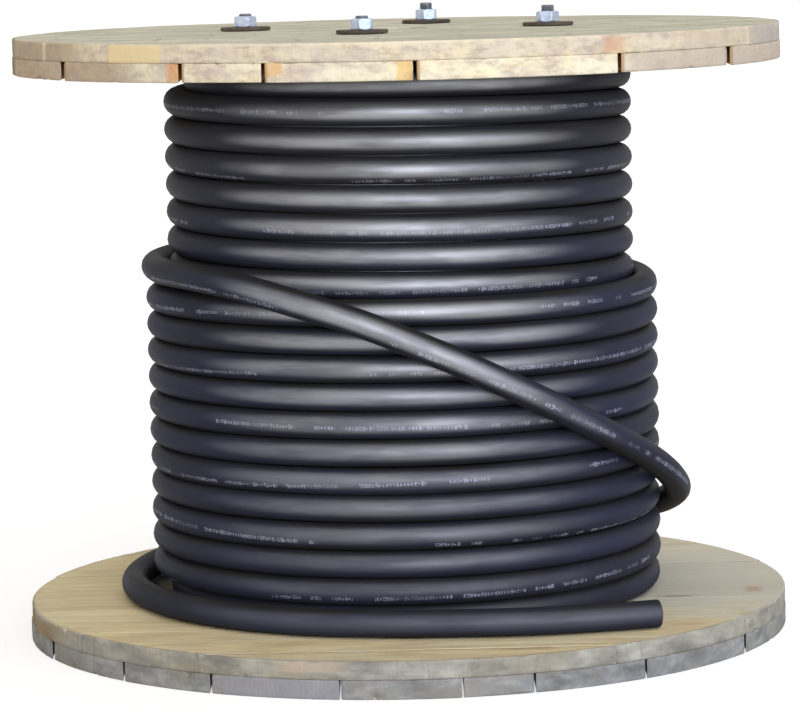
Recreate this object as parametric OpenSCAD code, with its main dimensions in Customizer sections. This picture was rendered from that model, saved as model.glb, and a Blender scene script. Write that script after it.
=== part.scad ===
// Wooden cable drum, standing on one flange, with a part load of heavy cable.
// Millimetres. The drum's axis is Z and the floor it stands on is z = 0.

/* [Drum] */
// Diameter of both flanges
flange_d = 914; // [860:2:1060]
// Clear width between the flanges
traverse = 630; // [560:2:720]
// Diameter of the hole for the spindle the drum turns on
arbor_d = 76.2; // [50:0.1:90]

/* [Boards] */
// Thickness of one board: a flange is two crossed layers
board_t = 22; // [19:0.5:28]
// Gap between the boards of the top flange, which have dried apart
top_gap = 4; // [1:0.5:5]
// Gap between the boards of the base flange
base_gap = 2; // [1:0.5:5]
// Worn chamfer around the outer edge of a flange
rim_chamfer = 2; // [0.5:0.5:5]

/* [Barrel] */
// Diameter of the barrel over the edges of its staves
barrel_d = 439; // [400:1:480]
// Number of flat staves around the barrel
stave_count = 16; // [12:1:24]
// Thickness of a stave
stave_t = 20; // [16:1:26]
// Gap between neighbouring staves
stave_gap = 2; // [0.5:0.5:4]
// Depth of the groove in each flange that the staves stand in
groove_depth = 8; // [4:1:12]

/* [Tie bolts] */
// Diameter of a tie bolt
bolt_d = 16; // [12:1:20]
// How far the bolts are turned from the board directions, in degrees
bolt_turn = -12; // [-20:1:-6]
// Width of nuts and bolt heads across their flats
nut_af = 24; // [20:1:30]
// Height of a nut
nut_h = 13; // [8:0.5:16]
// Height of a bolt head
head_h = 10; // [7:0.5:12]
// Diameter of a washer
washer_d = 60; // [44:1:66]
// Thickness of a washer
washer_t = 4; // [2:0.5:5]
// Thread that stands above each nut: right, back, left, front
stub_h = [7, 8, 3, 3]; // [0:0.5:12]

/* [Cable] */
// Diameter of the cable
cable_d = 31.75; // [26:0.25:36]
// Turns in the outermost layer, which stops part way up
last_turns = 12; // [6:1:14]

/* [Hidden] */
$fn = 240;

// Seams between the boards of each layer, across the disc from one side to the other.
// A seam at 1 lies at the edge of the bolt zone, which the tie bolts go through, and 2 is the rim.
top_outer_seams = [-1.32, -0.89, -0.33, 0.23, 0.6, 1.19, 1.64];
top_inner_seams = [-1.61, -0.95, -0.58, 0.08, 0.98, 1.6];
base_inner_seams = [-1.7, -1.04, -0.47, 0.48, 1.06, 1.73];
base_outer_seams = [-1.8, -1.36, -0.89, -0.31, 0.23, 0.55, 1.07, 1.66];

// Heights of the layers, from the floor up
flange_t = 2 * board_t;
base_top = flange_t;
top_under = base_top + traverse;
top_face = top_under + flange_t;

// Running room around pieces that are only pushed together
play = 0.3;
groove_play = 1;

// Barrel: the staves are flat, so their edges lie on the barrel's circle
stave_half = 180 / stave_count;
stave_out = barrel_d / 2 * cos(stave_half);
stave_in = stave_out - stave_t;
stave_foot = base_top - groove_depth;
stave_head = top_under + groove_depth - play;
groove_out_r = barrel_d / 2 + groove_play;
groove_in_r = stave_in - groove_play;

// Bolts stand just inside the barrel
bolt_play = 0.75;
bolt_hole_d = bolt_d + 2 * bolt_play;
bolt_wall = 1.5;
bolt_r = groove_in_r - bolt_wall - bolt_hole_d / 2;
bolt_zone = 1.35 * bolt_r;
bolt_count = 4;
nut_play = 0.2;
hex_face = 0.95;
hex_slope = 30;
hex_reach = 1;
sink_play = 3;
sink_d = washer_d + 2 * sink_play;
head_cover = 2;
sink_depth = washer_t + head_h + head_cover;
head_seat = sink_depth - washer_t;

// Cable: each layer lies in the valleys of the one below
layer_step = cable_d * sqrt(3) / 2;
full_layers = 2;
full_r = barrel_d / 2 + cable_d / 2 + (full_layers - 1) * layer_step;
last_r = full_r + layer_step;
bore_r = barrel_d / 2 + play;
full_turns = floor((traverse - 2 * play) / cable_d);
full_pitch = (traverse - 2 * play - cable_d) / (full_turns - 1);
first_turn_z = base_top + play + cable_d / 2;
valley = 0.2 * cable_d;

// Loose end of the cable, from the top of the last layer round to the cut end.
// Each point is the angle, then the distance out from the last layer's middle
// and the height above the lower flange, both in cable diameters.
tail_route = [
    [150, 0.13, 12.53], [165, 0.13, 12.53], [182, 0.14, 12.53], [199, 0.18, 12.54], [213, 0.35, 12.57],
    [225, 0.63, 12.53], [237, 0.92, 12.33], [249, 1.08, 11.86], [260, 1.09, 11.3],
    [270, 1.09, 10.6], [280, 1.09, 9.81], [290, 1.09, 8.94], [301, 1.09, 7.97],
    [314, 1.09, 6.83], [329, 1.1, 5.63], [345, 1.12, 4.43], [362, 1.14, 3.33],
    [385, 1.13, 2.25], [410, 1.1, 1.6], [435, 1.1, 1.21], [460, 1.1, 0.95],
    [485, 1.12, 0.74], [510, 1.18, 0.58], [532, 1.24, 0.51], [552, 1.23, 0.5],
    [572, 1.14, 0.5], [592, 1.08, 0.5], [610, 1.08, 0.5], [626, 1.12, 0.5],
    [637, 1.38, 0.5], [647, 1.82, 0.5], [656, 2.38, 0.5], [665, 3.05, 0.5],
    [673, 3.83, 0.5]
];
tail_sides = 12;
tail_steps = 2;

// Names of numbered pieces
function numbered(name, count) = [for (i = [1:count]) str(name, "_", i)];

// Distance of a seam from the middle of the disc
function seam_place(s) =
    abs(s) <= 1 ? s * bolt_zone : sign(s) * (bolt_zone + (abs(s) - 1) * (flange_d / 2 - bolt_zone));

// Angle at which bolt i stands
function bolt_angle(i) = bolt_turn + 360 / bolt_count * i;

// Point on the loose end for one entry of its route
function tail_point(p) =
    let (r = last_r + p[1] * cable_d)
    [r * cos(p[0]), r * sin(p[0]), base_top + play + p[2] * cable_d];

// Smooth curve through the route: the place at parameter u between points i and i + 1
function tail_at(points, i, u) =
    let (
        last = len(points) - 1,
        a = points[max(i - 1, 0)],
        b = points[i],
        c = points[min(i + 1, last)],
        d = points[min(i + 2, last)]
    )
    0.5 * (2 * b + (c - a) * u + (2 * a - 5 * b + 4 * c - d) * u * u
        + (3 * b - a - 3 * c + d) * u * u * u);

function unit(v) = v / norm(v);

// One ring of corners around the cable, square to its run
function tail_ring(middle, run) =
    let (
        out = unit([middle[0], middle[1], 0]),
        side = unit(out - (out * run) * run),
        rise = cross(run, side)
    )
    [for (k = [0:tail_sides - 1])
        let (turn = 360 * k / tail_sides)
        middle + cable_d / 2 * (cos(turn) * side + sin(turn) * rise)];

// Things drilled and routed through every board
module at_bolts() {
    for (i = [0:bolt_count - 1])
        rotate(bolt_angle(i)) translate([bolt_r, 0, 0]) children();
}

module drillings() {
    translate([0, 0, -1]) cylinder(d = arbor_d, h = top_face + 2);
    at_bolts() translate([0, 0, -1]) cylinder(d = bolt_hole_d, h = top_face + 2);
}

module bolt_sinks() {
    at_bolts() translate([0, 0, -1]) cylinder(d = sink_d, h = sink_depth + 1);
}

module stave_groove(floor_z, roof_z) {
    translate([0, 0, floor_z]) difference() {
        cylinder(r = groove_out_r, h = roof_z - floor_z);
        translate([0, 0, -1]) cylinder(r = groove_in_r, h = roof_z - floor_z + 2);
    }
}

// Round layer of a flange; the chamfer is on its upper or its lower edge
module layer_disc(chamfer_up) {
    r = flange_d / 2;
    rotate_extrude() mirror([0, chamfer_up ? 0 : 1]) translate([0, chamfer_up ? 0 : -board_t])
        polygon([[0, 0], [r, 0], [r, board_t - rim_chamfer], [r - rim_chamfer, board_t], [0, board_t]]);
}

// Board i of a layer: a strip of the disc. Boards lie side by side across X, or across Y when turned
module board(seams, i, gap, z, turned, chamfer_up) {
    reach = flange_d;
    low = i == 0 ? -reach : seam_place(seams[i - 1]) + gap / 2;
    high = i == len(seams) ? reach : seam_place(seams[i]) - gap / 2;
    translate([0, 0, z]) intersection() {
        layer_disc(chamfer_up);
        rotate(turned ? 90 : 0) translate([low, -reach, -1]) cube([high - low, 2 * reach, board_t + 2]);
    }
}

module top_outer_board(i) {
    color("darkkhaki") difference() {
        board(top_outer_seams, i, top_gap, top_under + board_t, true, true);
        drillings();
    }
}

module top_inner_board(i) {
    color("burlywood") difference() {
        board(top_inner_seams, i, top_gap, top_under, false, false);
        drillings();
        stave_groove(top_under - 1, top_under + groove_depth);
    }
}

module base_inner_board(i) {
    color("tan") difference() {
        board(base_inner_seams, i, base_gap, board_t, true, true);
        drillings();
        stave_groove(stave_foot, base_top + 1);
    }
}

module base_outer_board(i) {
    color("rosybrown") difference() {
        board(base_outer_seams, i, base_gap, 0, false, false);
        drillings();
        bolt_sinks();
    }
}

// Flat staves in a ring, each planed to a wedge so that the ring closes
module barrel_staves() {
    out_half = stave_out * tan(stave_half) - stave_gap / 2;
    in_half = stave_in * tan(stave_half) - stave_gap / 2;
    color("peru") for (i = [0:stave_count - 1])
        rotate(i * 2 * stave_half) translate([0, 0, stave_foot])
            linear_extrude(stave_head - stave_foot)
                polygon([[stave_in, -in_half], [stave_out, -out_half], [stave_out, out_half], [stave_in, in_half]]);
}

// Hexagon with its corners turned off by a cone at both faces
module hexagon(height) {
    corner_r = nut_af / 2 / cos(30);
    face_r = nut_af / 2 * hex_face;
    wide_r = corner_r + hex_reach;
    drop = (wide_r - face_r) * tan(hex_slope);
    intersection() {
        cylinder(r = corner_r, h = height, $fn = 6);
        rotate_extrude() polygon([
            [0, 0], [face_r, 0], [wide_r, drop], [wide_r, height - drop], [face_r, height], [0, height]
        ]);
    }
}

// Bolt: a hexagon head under the lower flange and a long shank up through the nut
module tie_bolt(i) {
    shank_top = top_face + washer_t + nut_h + stub_h[i];
    color("dimgray") rotate(bolt_angle(i)) translate([bolt_r, 0, 0]) {
        translate([0, 0, head_seat - head_h]) hexagon(head_h);
        translate([0, 0, head_seat - head_h / 2]) cylinder(d = bolt_d, h = shank_top - head_seat + head_h / 2);
    }
}

module nut(i) {
    color("gainsboro") rotate(bolt_angle(i)) translate([bolt_r, 0, top_face + washer_t]) difference() {
        hexagon(nut_h);
        translate([0, 0, -1]) cylinder(d = bolt_d + 2 * nut_play, h = nut_h + 2);
    }
}

module washer(i, z) {
    rotate(bolt_angle(i)) translate([bolt_r, 0, z]) difference() {
        cylinder(d = washer_d, h = washer_t);
        translate([0, 0, -1]) cylinder(d = bolt_hole_d, h = washer_t + 2);
    }
}

module top_washer(i) {
    color("saddlebrown") washer(i, top_face);
}

module base_washer(i) {
    color("saddlebrown") washer(i, head_seat);
}

// Wound cable: full layers from flange to flange, then the last layer up to its top turn
module cable_winding() {
    last_top = first_turn_z + (last_turns - 1) * cable_d;
    color([0.13, 0.13, 0.14]) rotate_extrude() {
        translate([bore_r, base_top]) square([full_r + valley - bore_r, traverse]);
        translate([bore_r, base_top]) square([last_r + valley - bore_r, last_top - base_top]);
        for (k = [0:full_turns - 1])
            translate([full_r, first_turn_z + k * full_pitch]) circle(d = cable_d);
        for (k = [0:last_turns - 1])
            translate([last_r, first_turn_z + k * cable_d]) circle(d = cable_d);
    }
}

module cable_tail() {
    points = [for (p = tail_route) tail_point(p)];
    spans = len(points) - 1;
    middles = concat(
        [for (i = [0:spans - 1], s = [0:tail_steps - 1]) tail_at(points, i, s / tail_steps)],
        [points[spans]]
    );
    ends = len(middles) - 1;
    rings = [for (j = [0:ends])
        tail_ring(middles[j], unit(middles[min(j + 1, ends)] - middles[max(j - 1, 0)]))];
    corners = [for (ring = rings, corner = ring) corner];
    walls = [for (j = [0:ends - 1], k = [0:tail_sides - 1], half = [0, 1])
        let (
            n = (k + 1) % tail_sides,
            near = j * tail_sides,
            far = near + tail_sides
        )
        half == 0 ? [near + k, far + k, far + n] : [near + k, far + n, near + n]];
    start_cap = [for (k = [0:tail_sides - 1]) k];
    end_cap = [for (k = [0:tail_sides - 1]) ends * tail_sides + tail_sides - 1 - k];
    color([0.1, 0.1, 0.11]) polyhedron(corners, concat(walls, [start_cap], [end_cap]));
}

for (i = [0:len(top_outer_seams)])
    top_outer_board(i);
for (i = [0:len(top_inner_seams)])
    top_inner_board(i);
for (i = [0:len(base_inner_seams)])
    base_inner_board(i);
for (i = [0:len(base_outer_seams)])
    base_outer_board(i);
for (i = [0:bolt_count - 1]) {
    tie_bolt(i);
    nut(i);
    top_washer(i);
    base_washer(i);
}
barrel_staves();
cable_winding();
cable_tail();
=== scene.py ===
# %% [markdown]
# # A wooden cable drum with a part load of heavy cable
# This lesson dresses a drum that was drawn in CAD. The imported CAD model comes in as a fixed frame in
# metres, with the drum's axis on Z and the floor at zero. Each step then gives one kind of piece its
# real look: first the camera and the cable, then the boards, the bolts, and last the light.

# %% Open the frame
import math
import random

import bmesh
import bpy
from mathutils import Matrix, Vector


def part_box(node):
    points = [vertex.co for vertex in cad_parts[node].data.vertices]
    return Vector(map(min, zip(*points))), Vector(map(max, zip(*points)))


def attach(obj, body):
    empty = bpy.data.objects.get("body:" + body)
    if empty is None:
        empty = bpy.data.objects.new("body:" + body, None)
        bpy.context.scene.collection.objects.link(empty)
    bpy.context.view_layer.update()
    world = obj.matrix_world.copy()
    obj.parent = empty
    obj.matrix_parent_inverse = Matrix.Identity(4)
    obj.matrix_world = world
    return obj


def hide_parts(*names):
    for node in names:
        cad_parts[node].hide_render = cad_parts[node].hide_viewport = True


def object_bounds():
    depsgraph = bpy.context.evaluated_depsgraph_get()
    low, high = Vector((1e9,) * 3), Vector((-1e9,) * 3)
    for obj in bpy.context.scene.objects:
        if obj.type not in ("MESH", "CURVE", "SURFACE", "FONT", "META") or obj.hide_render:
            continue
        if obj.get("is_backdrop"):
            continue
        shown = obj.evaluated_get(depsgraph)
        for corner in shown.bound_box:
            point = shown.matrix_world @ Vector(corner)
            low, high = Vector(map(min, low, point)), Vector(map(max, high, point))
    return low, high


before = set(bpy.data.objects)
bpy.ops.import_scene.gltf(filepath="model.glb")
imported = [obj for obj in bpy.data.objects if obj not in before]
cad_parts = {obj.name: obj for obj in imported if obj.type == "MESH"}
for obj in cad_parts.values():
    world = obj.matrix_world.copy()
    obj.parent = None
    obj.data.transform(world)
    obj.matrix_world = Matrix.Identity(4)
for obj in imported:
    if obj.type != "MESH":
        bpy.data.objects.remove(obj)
cad_low, cad_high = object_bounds()
scene = bpy.context.scene
print("frame:", len(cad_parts), "nodes, top at", round(cad_high.z, 3), "m")

# %% [markdown]
# The drum is seen from almost level with its upper flange, through a long lens that keeps its sides
# nearly parallel. The camera could be aimed with a constraint, but a plain matrix of heading, tilt and
# roll is easier to read back and to change.

# %% Camera
CAMERA_PLACE = (0.0, -4.4106, 0.8470)
LENS_MM = 166.05
SENSOR_MM = 36
HEADING = 0.00085
TILT = math.radians(90 - 6.782)
ROLL = -0.0233

camera_data = bpy.data.cameras.new("camera")
camera_data.lens = LENS_MM
camera_data.sensor_width = SENSOR_MM
camera = bpy.data.objects.new("camera", camera_data)
scene.collection.objects.link(camera)
turn = Matrix.Rotation(HEADING, 4, "Z") @ Matrix.Rotation(TILT, 4, "X") @ Matrix.Rotation(ROLL, 4, "Z")
camera.matrix_world = Matrix.Translation(CAMERA_PLACE) @ turn
scene.camera = camera
print("camera:", LENS_MM, "mm lens,", abs(CAMERA_PLACE[1]), "m in front of the axis")

# %% [markdown]
# Much of a drum follows rules: cable climbs a fixed amount each turn, and a board is a strip of a disc.
# Node trees hold such rules well, but a tree written link by link is hard to read. This small class
# lets a socket take part in ordinary arithmetic: each sign places a Math node, so a rule reads as the
# formula that it is. It works in geometry trees and in materials alike.

# %% Arithmetic on sockets
class Field:
    """A value that runs through a node tree and can be used in a formula."""

    def __init__(self, socket):
        self.socket = socket
        self.tree = socket.id_data

    def op(self, operation, *others):
        return calc(operation, self, *others)

    def __add__(self, other):
        return self.op("ADD", other)

    def __sub__(self, other):
        return self.op("SUBTRACT", other)

    def __rsub__(self, other):
        return calc("SUBTRACT", other, self)

    def __mul__(self, other):
        return self.op("MULTIPLY", other)

    def __truediv__(self, other):
        return self.op("DIVIDE", other)

    __radd__ = __add__
    __rmul__ = __mul__


def fill(made, inputs):
    """Fill a node's inputs by name or in order: link what runs through the tree, set what is plain."""
    for key, value in inputs.items() if isinstance(inputs, dict) else enumerate(inputs):
        if isinstance(value, Field):
            made.id_data.links.new(value.socket, made.inputs[key])
        else:
            made.inputs[key].default_value = value


def place(tree, kind, inputs=(), **settings):
    """Place a node, set its own settings, and fill its inputs."""
    made = tree.nodes.new(kind)
    for name, value in settings.items():
        setattr(made, name, value)
    fill(made, inputs)
    return made


def node(tree, kind, inputs=(), output=0, **settings):
    """One output of a new node, ready for a formula."""
    return Field(place(tree, kind, inputs, **settings).outputs[output])


def home(values):
    """The tree that the values run through."""
    return next(value.tree for value in values if isinstance(value, Field))


def calc(operation, *values):
    """One Math node."""
    return node(home(values), "ShaderNodeMath", values, operation=operation)


def ease(value, start, end):
    """A smooth step from 0 at start to 1 at end."""
    return node(value.tree, "ShaderNodeMapRange", (value, start, end), interpolation_type="SMOOTHSTEP")


def mixed(amount, low, high):
    """A plain blend of two numbers."""
    return low + (high - low) * amount


def vector(*parts):
    return node(home(parts), "ShaderNodeCombineXYZ", parts)


def split(field):
    return [Field(socket) for socket in place(field.tree, "ShaderNodeSeparateXYZ", [field]).outputs]


def vector_op(operation, *values):
    """One Vector Math node; the dot product comes out as a number."""
    output = "Value" if operation == "DOT_PRODUCT" else "Vector"
    return node(home(values), "ShaderNodeVectorMath", values, output, operation=operation)


def noise(where, scale=1.0, detail=2.0, roughness=0.5):
    """Soft random values around a half."""
    inputs = {"Vector": where, "Scale": scale, "Detail": detail, "Roughness": roughness}
    return node(where.tree, "ShaderNodeTexNoise", inputs, "Fac")


def stretched(field, x, y, z):
    """Scale a place along its three directions."""
    return vector_op("MULTIPLY", field, (x, y, z))


def streaks(where, x, y, z, detail=2.0, roughness=0.5):
    """Noise that is drawn out, with its own number of patches per metre in each direction."""
    return noise(stretched(where, x, y, z), 1.0, detail, roughness)


print("field arithmetic is ready")

# %% [markdown]
# A material here starts from one Principled shader. Colours are written as a paint chart would give
# them, in steps of 255, and turned into the linear values that Blender mixes. Effects that several
# finishes share become shader groups, so each is built once and set in place with its own amounts.

# %% Helpers for finishes
SOCKETS = {float: "Float", int: "Int", bool: "Bool"}


def paint(colour):
    """A chart colour as linear light; a colour that is linear already, or runs through a tree, passes."""
    if isinstance(colour, Field) or len(colour) == 4:
        return colour
    parts = [part / 255 for part in colour]
    return [p / 12.92 if p <= 0.04045 else ((p + 0.055) / 1.055) ** 2.4 for p in parts] + [1.0]


def blend(amount, under, over, how="MIX"):
    """Lay one colour over another."""
    inputs = {0: amount, 6: paint(under), 7: paint(over)}
    return node(home(inputs.values()), "ShaderNodeMix", inputs, 2, data_type="RGBA", blend_type=how)


def layered(colour, layers):
    """Lay tints over a colour in turn; each layer is an amount and a tint."""
    for amount, tint in layers:
        colour = blend(amount, colour, tint)
    return colour


def new_finish(name):
    """A material with one Principled shader, ready for its inputs."""
    material = bpy.data.materials.new(name)
    material.use_nodes = True
    return material, material.node_tree, material.node_tree.nodes["Principled BSDF"]


def attribute(tree, name, output="Vector"):
    """A value that the piece's own mesh carries."""
    return node(tree, "ShaderNodeAttribute", (), output, attribute_name=name)


def object_place(tree):
    return node(tree, "ShaderNodeTexCoord", (), "Object")


def bump(height, distance, strength):
    inputs = {"Strength": strength, "Distance": distance, "Height": height}
    return node(height.tree, "ShaderNodeBump", inputs, "Normal")


def new_group(name, inputs, outputs, kind="ShaderNodeTree"):
    """An empty group; each named input or output has a kind of socket, or a number to start from."""
    tree = bpy.data.node_groups.new(name, kind)
    for way, sockets in (("INPUT", inputs), ("OUTPUT", outputs)):
        for label, value in sockets.items():
            word = value if isinstance(value, str) else SOCKETS[type(value)]
            socket = tree.interface.new_socket(label, in_out=way, socket_type="NodeSocket" + word)
            if word != value:
                socket.default_value = value
    given = tree.nodes.new("NodeGroupInput")
    result = tree.nodes.new("NodeGroupOutput")
    return tree, {label: Field(given.outputs[label]) for label in inputs}, result


def use_group(tree, group, inputs):
    """Place a group in a material and hand back its outputs by name."""
    made = place(tree, "ShaderNodeGroup", inputs, node_tree=group)
    return {socket.name: Field(socket) for socket in made.outputs}


print("finish helpers are ready")

# %% [markdown]
# Dust settles on everything that stands in a yard. It is a thin, pale, patchy film, and each finish says
# how much of it there is. One group serves the cable, the boards and the metal.

# %% Dust group
dust_group, given, result = new_group(
    "Dust",
    {"Colour": "Color", "Where": "Vector", "Dust": "Color", "Amount": "Float"},
    {"Colour": "Color", "Mask": "Float"},
)
patches = noise(given["Where"], 9, 5, 0.6)
specks = noise(given["Where"], 260, 3, 0.6)
film = ease(patches * 0.7 + specks * 0.3, 0.38, 0.68) * given["Amount"]
fill(result, {"Colour": blend(film, given["Colour"], given["Dust"]), "Mask": film})
print("group:", dust_group.name)

# %% [markdown]
# The cable has a black rubber sheath. Its satin sheen is a thin coat that is strongest where the rubber
# faces the eye, and duller near the floor. Its colour also carries painted light: a bluish painted sheen
# in patches and on the side of each turn that faces outwards, and a grey painted lift higher up that
# makes the upper turns look more brightly lit. It is scuffed lengthwise from handling and carries a pale
# printed line that comes and goes along its length. Real print would be lettering; here it is a row of
# plain ticks of uneven width. The pattern has to follow the cable, so it reads two values that the mesh
# carries: how far along the cable a point lies, and which way it faces around it.

# %% Rubber sheath
CABLE_D = 0.03175
PRINT_REPEAT = 0.64
PRINT_SHARE = 0.8
PRINT_TURN = 1.78
TICK = 0.0038
WORD = 0.012
SHEEN_IOR = 3.6
SHEEN_ROUGH = 0.5
DULL = 0.05


def random_step(along, size, shift):
    """A random number for each stretch of cable of the given size."""
    step = (along / size).op("FLOOR") + shift
    return node(along.tree, "ShaderNodeTexWhiteNoise", {"W": step}, "Value", noise_dimensions="1D")


def print_marks(along, out, up):
    """A broken row of ticks on the side of the cable that faces outwards."""
    slant = (noise(vector(along * 0.9, 0, 0), 1.0, 1.0) - 0.5) * 3.2 - 0.25
    lean, rise = slant.op("COSINE"), slant.op("SINE")
    facing = out * lean + up * rise
    across = (up * lean - out * rise).op("ABSOLUTE")
    stretch = ease((along / PRINT_REPEAT).op("FRACT"), PRINT_SHARE, PRINT_SHARE - 0.01)
    turned_out = (along / PRINT_TURN / 2).op("FRACT").op("LESS_THAN", 0.42)
    word = random_step(along, WORD, 0.5).op("GREATER_THAN", 0.25)
    tick = random_step(along, TICK, 7.5)
    width = (along / TICK).op("FRACT").op("LESS_THAN", 0.5 + tick * 0.45)
    tall = ease(across, tick * 0.08 + 0.12, tick * 0.08 + 0.05)
    ragged = ease(noise(vector(along * 420, up * 9, out * 9), 1.0, 3), 0.36, 0.56)
    faded = ease(noise(vector(along * 14, 5.0, 0)), 0.3, 0.62) * 0.75 + 0.25
    return stretch * turned_out * word * width * tall * ragged * faded * facing.op("GREATER_THAN", 0.0)


rubber_sheath, tree, shader = new_finish("black rubber sheath")
along = attribute(tree, "along", "Fac")
out, up = split(attribute(tree, "round"))[:2]
z = split(object_place(tree))[2]
skin = vector(along, out * (CABLE_D / 2), up * (CABLE_D / 2))
cloud = noise(skin, 14, 4, 0.6)
# Painted sheen: bluish patches in the rubber's colour give its highlights a blue tint.
painted_blue_sheen_patches = ease(streaks(skin, 5, 30, 30), 0.6, 0.42)
scuff = ease(streaks(skin, 7, 240, 240, 5, 0.65), 0.57, 0.74)
worn = ease(noise(skin, 6, 3), 0.42, 0.66)
# Painted light: the rubber is lifted towards grey higher up, so the upper turns look more brightly lit.
painted_light_higher_up = ease(z, 0.38, 0.6)
# Painted sheen: a bluish tint on the outward side of each turn, weaker higher up, colours the highlights
# blue.
painted_blue_sheen_outwards = ease(out, 0.45, 1.0) * (1 - painted_light_higher_up * 0.6)
colour = layered(blend(cloud, (33, 31, 31), (44, 43, 44)), [
    (painted_blue_sheen_patches * 0.2, (54, 60, 84)), (scuff * worn * 0.3, (84, 84, 92)),
    (painted_light_higher_up * 0.16, (98, 96, 98)), (painted_blue_sheen_outwards * 0.24, (62, 70, 102)),
])
dusty = use_group(tree, dust_group, {
    "Colour": colour, "Where": skin, "Dust": paint((104, 97, 90)), "Amount": ease(up, -0.2, 0.9) * 0.08,
})
handled = ease(streaks(skin, 9, 46, 46, 3, 0.6), 0.32, 0.64)
glancing = node(tree, "ShaderNodeLayerWeight", {"Blend": 0.5}, "Facing")
off_floor = mixed(ease(z, 0.02, 0.5), 0.15, 1.0)
sheen = ease(glancing, 0.42, 0.06) * ease(up, -0.9, -0.25) * (handled * 0.46 + 0.48) * off_floor
relief = noise(skin, 700, 3) * 0.5 + streaks(skin, 12, 260, 260, 3)
fill(shader, {
    "Base Color": blend(print_marks(along, out, up) * 0.6, dusty["Colour"], (186, 184, 206)),
    "Roughness": 0.55 + cloud * 0.08 - handled * 0.08 + scuff * 0.12 + dusty["Mask"] * 0.5,
    "Coat Weight": sheen, "Coat IOR": SHEEN_IOR, "Coat Roughness": SHEEN_ROUGH,
    "Specular IOR Level": DULL, "Normal": bump(relief, 0.0006, 0.35),
})
print("finish:", rubber_sheath.name)

# %% [markdown]
# A geometry tree can be run on any object as a modifier. These helpers make an empty tree with named
# sizes, run it with values set by the sockets' identifiers, and turn the result into a plain mesh that
# rides on the drum.

# %% Helpers for geometry trees
CREASE = 0.7


def geometry_tree(name, sizes):
    """A tree with a geometry input and output and one input for each named size."""
    whole = {"Geometry": "Geometry"}
    return new_group(name, {**whole, **sizes}, whole, "GeometryNodeTree")


def form(tree, kind, inputs=(), output=0, **settings):
    """One output of a new geometry node."""
    return node(tree, "GeometryNode" + kind, inputs, output, **settings)


def stored(geometry, name, value, kind="FLOAT_VECTOR"):
    """Write a value onto the points, for a material to read."""
    inputs = {"Geometry": geometry, "Name": name, "Value": value}
    return form(geometry.tree, "StoreNamedAttribute", inputs, data_type=kind, domain="POINT")


def shaded(geometry, finish, crease=CREASE):
    """Realize what is left as instances, shade it smooth but for sharp creases, and set its finish."""
    tree = geometry.tree
    real = form(tree, "RealizeInstances", [geometry])
    smooth = form(tree, "SetShadeSmooth", {"Geometry": real, "Shade Smooth": True})
    angle = form(tree, "InputMeshEdgeAngle", (), "Unsigned Angle")
    sharp = node(tree, "FunctionNodeCompare", (angle, crease))
    edges = {"Geometry": smooth, "Selection": sharp, "Shade Smooth": False}
    creased = form(tree, "SetShadeSmooth", edges, domain="EDGE")
    return form(tree, "SetMaterial", {"Geometry": creased, "Material": finish})


def new_object(name, points=(), faces=(), edges=()):
    mesh = bpy.data.meshes.new(name)
    mesh.from_pydata([tuple(point) for point in points], edges, faces)
    made = bpy.data.objects.new(name, mesh)
    scene.collection.objects.link(made)
    return made


def plain_piece(name, source, slot=None, *nodes):
    """Turn a source object into a plain mesh piece that rides on the drum and stands for CAD nodes."""
    graph = bpy.context.evaluated_depsgraph_get()
    mesh = bpy.data.meshes.new_from_object(
        source.evaluated_get(graph), preserve_all_data_layers=True, depsgraph=graph
    )
    bpy.data.objects.remove(source)
    mesh.name = name
    piece = bpy.data.objects.new(name, mesh)
    scene.collection.objects.link(piece)
    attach(piece, "root")
    if nodes:
        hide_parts(*nodes)
    return piece


def tree_piece(name, source, tree, values, slot=None, *nodes):
    """A piece that a tree makes. Inputs are set by identifier, before the first evaluation."""
    modifier = source.modifiers.new(tree.name, "NODES")
    modifier.node_group = tree
    for item in tree.interface.items_tree:
        if item.in_out == "INPUT" and item.name in values:
            modifier[item.identifier] = values[item.name]
    return plain_piece(name, source, slot, *nodes)


print("geometry helpers are ready")

# %% [markdown]
# Every stretch of cable is a round sheath around a path. The tree turns the path into a curve, skins it
# with a circle, and notes two values on each point for the rubber finish: the length along the cable,
# and the direction from the cable's middle, outwards and up.

# %% Sheath around a path
SIDES = 18
TAIL_SIDES = 24

sheath_tree, given, result = geometry_tree("Sheath around a path", {
    "Diameter": CABLE_D, "Sides": SIDES, "Finish": "Material",
})
curve = form(sheath_tree, "MeshToCurve", [given["Geometry"]])
curve = form(sheath_tree, "SetCurveNormal", {"Curve": curve}, mode="Z_UP")
curve = stored(curve, "along", form(sheath_tree, "SplineParameter", (), "Length"), "FLOAT")
curve = stored(curve, "middle", form(sheath_tree, "InputPosition"))
circle = {"Resolution": given["Sides"], "Radius": given["Diameter"] * 0.5}
ring = form(sheath_tree, "CurvePrimitiveCircle", circle, "Curve")
tube = form(sheath_tree, "CurveToMesh", {"Curve": curve, "Profile Curve": ring, "Fill Caps": True})
middle = form(sheath_tree, "InputNamedAttribute", {"Name": "middle"}, data_type="FLOAT_VECTOR")
away = vector_op("NORMALIZE", vector_op("SUBTRACT", form(sheath_tree, "InputPosition"), middle))
outwards = vector_op("NORMALIZE", stretched(middle, 1, 1, 0))
tube = stored(tube, "round", vector(vector_op("DOT_PRODUCT", away, outwards), split(away)[2], 0.0))
tube = form(sheath_tree, "RemoveAttribute", {"Geometry": tube, "Name": "middle"})
fill(result, [shaded(tube, given["Finish"], 1.0)])
print("tree:", sheath_tree.name)
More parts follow.
